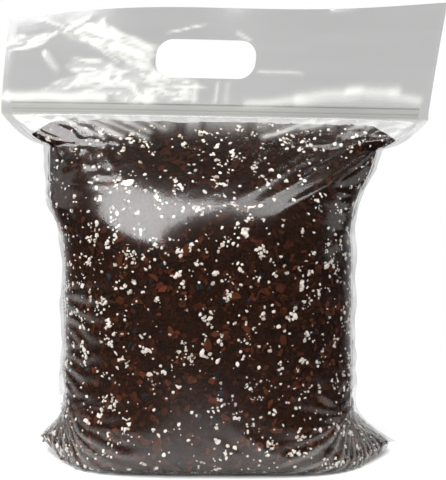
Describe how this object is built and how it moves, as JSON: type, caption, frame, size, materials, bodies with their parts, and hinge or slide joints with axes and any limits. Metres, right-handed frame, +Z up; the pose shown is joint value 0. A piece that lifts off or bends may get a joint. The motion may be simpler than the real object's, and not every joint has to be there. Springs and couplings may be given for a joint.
{
  "type": "compost bag",
  "caption": "Clear press-to-close film bag with a punched hand-hole header, filled with chunky bark, perlite and charcoal potting compost and standing upright.",
  "frame": {"origin": "on the floor, below the middle of the bag's bounding box", "axes": "+X across the bag along the zip, the front faces -Y, +Z up"},
  "size_m": [0.3555, 0.18, 0.367],
  "materials": {
    "ldpe_film": "clear glossy film",
    "zip_plastic": "translucent",
    "potting_mix": "rough, moist",
    "perlite": "matt, porous",
    "pine_bark": "rough",
    "charcoal": "matt"
  },
  "bodies": {
    "root": {"film_bag": "ldpe_film", "zip_rib": "zip_plastic", "zip_groove": "zip_plastic", "compost": "potting_mix", "perlite_nugget_01": "perlite", "perlite_nugget_02": "perlite", "perlite_nugget_03": "perlite", "perlite_nugget_04": "perlite", "perlite_nugget_05": "perlite", "perlite_nugget_06": "perlite", "perlite_nugget_07": "perlite", "perlite_nugget_08": "perlite", "perlite_nugget_09": "perlite", "perlite_nugget_10": "perlite", "perlite_nugget_11": "perlite", "perlite_nugget_12": "perlite", "perlite_nugget_13": "perlite", "perlite_nugget_14": "perlite", "perlite_nugget_15": "perlite", "perlite_nugget_16": "perlite", "bark_chip_01": "pine_bark", "bark_chip_02": "pine_bark", "bark_chip_03": "pine_bark", "bark_chip_04": "pine_bark", "bark_chip_05": "pine_bark", "bark_chip_06": "pine_bark", "bark_chip_07": "pine_bark", "bark_chip_08": "pine_bark", "bark_chip_09": "pine_bark", "bark_chip_10": "pine_bark", "bark_chip_11": "pine_bark", "bark_chip_12": "pine_bark", "charcoal_lump_01": "charcoal", "charcoal_lump_02": "charcoal", "charcoal_lump_03": "charcoal", "charcoal_lump_04": "charcoal", "charcoal_lump_05": "charcoal", "charcoal_lump_06": "charcoal", "charcoal_lump_07": "charcoal", "charcoal_lump_08": "charcoal"}
  },
  "joints": []
}
